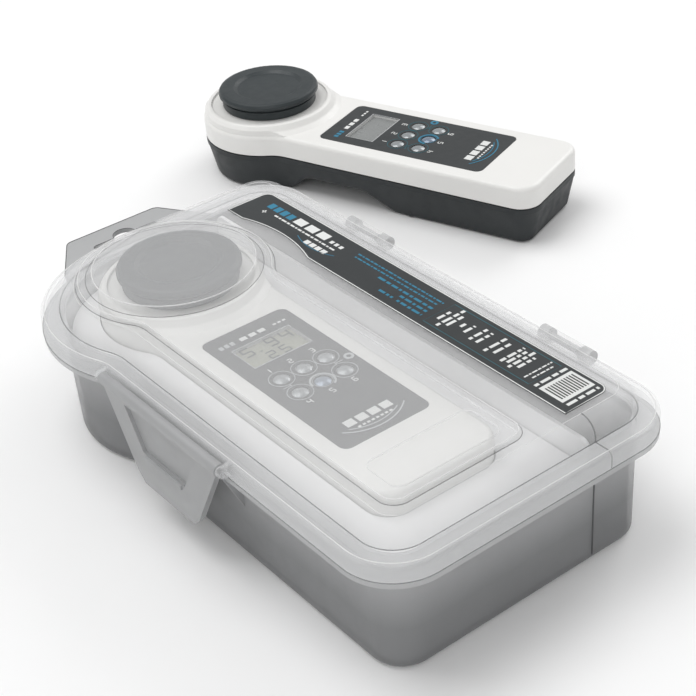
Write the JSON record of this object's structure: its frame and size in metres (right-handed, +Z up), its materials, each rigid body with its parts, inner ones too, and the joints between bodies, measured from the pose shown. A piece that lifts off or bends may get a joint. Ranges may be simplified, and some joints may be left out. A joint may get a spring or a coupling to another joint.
{
  "type": "pool water test kit",
  "caption": "Hinged frosted storage case with hanging tab, clasp and printed strip, holding a hand-held water photometer, with a matching photometer lying beside it.",
  "frame": {"origin": "centre of the case tray's flat base", "axes": "+X from the case's head end to its foot end, +Y towards the lid's hinges, +Z up"},
  "size_m": [0.376, 0.2845, 0.0655],
  "materials": {
    "frosted_tray": "frosted translucent polypropylene, satin",
    "frosted_lid": "frosted translucent polypropylene, satin",
    "frosted_clasp": "frosted translucent polypropylene, satin",
    "frosted_insert": "thin formed translucent sheet",
    "printed_strip": "printed film, satin black with pale and blue marks",
    "white_shell": "satin moulded ABS",
    "charcoal_shell": "fine satin moulded ABS",
    "cap_plastic": "soft satin moulded plastic",
    "seal_rubber": "matt",
    "clear_cell": "polished clear acrylic",
    "black_plastic": "matt black",
    "led_lens": "clear epoxy lens",
    "printed_overlay": "printed film, fine matt",
    "display_window": "clear window",
    "display_module": "liquid crystal display on a carrier",
    "circuit_board": "green solder mask",
    "silver_key": "pearl silver moulded dome",
    "power_key": "pearl silver moulded dome, blue tint",
    "cell_wrap": "wrapped dry cell",
    "contact_metal": "nickel plated",
    "clear_plastic": "clear moulded plastic",
    "plunger_plastic": "white moulded plastic",
    "tablet_foil": "foil strip with pressed pockets"
  },
  "bodies": {
    "case": {"case_tray": "frosted_tray", "hanging_tab": "frosted_tray", "case_divider": "frosted_insert", "cradle_insert": "frosted_insert", "syringe_barrel": "clear_plastic", "stirring_rod": "clear_plastic", "reagent_strips": "tablet_foil", "stored_top_shell": "white_shell", "stored_bottom_shell": "charcoal_shell", "stored_parting_seal": "seal_rubber", "stored_light_cap": "cap_plastic", "stored_neck_seal": "seal_rubber", "stored_cuvette": "clear_cell", "stored_cuvette_holder": "black_plastic", "stored_led_emitters": "led_lens", "stored_photo_sensor": "black_plastic", "stored_keypad_overlay": "printed_overlay", "stored_lcd_window": "display_window", "stored_lcd_module": "display_module", "stored_circuit_board": "circuit_board", "stored_battery_cover": "charcoal_shell", "stored_batteries": "cell_wrap", "stored_battery_contacts": "contact_metal", "stored_shell_screws": "contact_metal"},
    "lid": {"case_lid": "frosted_lid", "lid_label_strip": "printed_strip"},
    "clasp": {"case_clasp": "frosted_clasp"},
    "plunger": {"syringe_plunger": "plunger_plastic"},
    "bench_photometer": {"bench_top_shell": "white_shell", "bench_bottom_shell": "charcoal_shell", "bench_parting_seal": "seal_rubber", "bench_neck_seal": "seal_rubber", "bench_cuvette": "clear_cell", "bench_cuvette_holder": "black_plastic", "bench_led_emitters": "led_lens", "bench_photo_sensor": "black_plastic", "bench_keypad_overlay": "printed_overlay", "bench_lcd_window": "display_window", "bench_lcd_module": "display_module", "bench_circuit_board": "circuit_board", "bench_batteries": "cell_wrap", "bench_battery_contacts": "contact_metal", "bench_shell_screws": "contact_metal"},
    "bench_cap": {"bench_light_cap": "cap_plastic"},
    "bench_cover": {"bench_battery_cover": "charcoal_shell"},
    "stored_key_1": {"stored_key_1": "silver_key"},
    "stored_key_2": {"stored_key_2": "silver_key"},
    "stored_key_3": {"stored_key_3": "silver_key"},
    "stored_key_4": {"stored_key_4": "silver_key"},
    "stored_key_5": {"stored_key_5": "power_key"},
    "stored_key_6": {"stored_key_6": "silver_key"},
    "bench_key_1": {"bench_key_1": "silver_key"},
    "bench_key_2": {"bench_key_2": "silver_key"},
    "bench_key_3": {"bench_key_3": "silver_key"},
    "bench_key_4": {"bench_key_4": "silver_key"},
    "bench_key_5": {"bench_key_5": "power_key"},
    "bench_key_6": {"bench_key_6": "silver_key"}
  },
  "joints": [
    {"name": "lid_hinge", "type": "hinge", "parent": "case", "child": "lid", "pos_m": [0.001, 0.0712, 0.047], "axis": [-1, 0, 0], "range_deg": [0, 110]},
    {"name": "clasp_hinge", "type": "hinge", "parent": "lid", "child": "clasp", "pos_m": [-0.0012, -0.0705, 0.0505], "axis": [-1, 0, 0], "range_deg": [0, 110]},
    {"name": "plunger_slide", "type": "slide", "parent": "case", "child": "plunger", "axis": [1, 0, 0], "range_m": [-0.028, 0.018]},
    {"name": "bench_photometer_lift", "type": "slide", "parent": "case", "child": "bench_photometer", "axis": [0, 0, 1], "range_m": [0, 0.12]},
    {"name": "bench_cap_lift", "type": "slide", "parent": "bench_photometer", "child": "bench_cap", "axis": [0, 0, 1], "range_m": [0, 0.03]},
    {"name": "bench_cover_slide", "type": "slide", "parent": "bench_photometer", "child": "bench_cover", "axis": [0.9397, 0.342, 0], "range_m": [0, 0.06]},
    {"name": "stored_key_1_press", "type": "slide", "parent": "case", "child": "stored_key_1", "axis": [0, 0, -1], "range_m": [0, 0.0005], "stiffness_N_per_m": 600},
    {"name": "stored_key_2_press", "type": "slide", "parent": "case", "child": "stored_key_2", "axis": [0, 0, -1], "range_m": [0, 0.0005], "stiffness_N_per_m": 600},
    {"name": "stored_key_3_press", "type": "slide", "parent": "case", "child": "stored_key_3", "axis": [0, 0, -1], "range_m": [0, 0.0005], "stiffness_N_per_m": 600},
    {"name": "stored_key_4_press", "type": "slide", "parent": "case", "child": "stored_key_4", "axis": [0, 0, -1], "range_m": [0, 0.0005], "stiffness_N_per_m": 600},
    {"name": "stored_key_5_press", "type": "slide", "parent": "case", "child": "stored_key_5", "axis": [0, 0, -1], "range_m": [0, 0.0005], "stiffness_N_per_m": 600},
    {"name": "stored_key_6_press", "type": "slide", "parent": "case", "child": "stored_key_6", "axis": [0, 0, -1], "range_m": [0, 0.0005], "stiffness_N_per_m": 600},
    {"name": "bench_key_1_press", "type": "slide", "parent": "bench_photometer", "child": "bench_key_1", "axis": [0, 0, -1], "range_m": [0, 0.0005], "stiffness_N_per_m": 600},
    {"name": "bench_key_2_press", "type": "slide", "parent": "bench_photometer", "child": "bench_key_2", "axis": [0, 0, -1], "range_m": [0, 0.0005], "stiffness_N_per_m": 600},
    {"name": "bench_key_3_press", "type": "slide", "parent": "bench_photometer", "child": "bench_key_3", "axis": [0, 0, -1], "range_m": [0, 0.0005], "stiffness_N_per_m": 600},
    {"name": "bench_key_4_press", "type": "slide", "parent": "bench_photometer", "child": "bench_key_4", "axis": [0, 0, -1], "range_m": [0, 0.0005], "stiffness_N_per_m": 600},
    {"name": "bench_key_5_press", "type": "slide", "parent": "bench_photometer", "child": "bench_key_5", "axis": [0, 0, -1], "range_m": [0, 0.0005], "stiffness_N_per_m": 600},
    {"name": "bench_key_6_press", "type": "slide", "parent": "bench_photometer", "child": "bench_key_6", "axis": [0, 0, -1], "range_m": [0, 0.0005], "stiffness_N_per_m": 600}
  ]
}
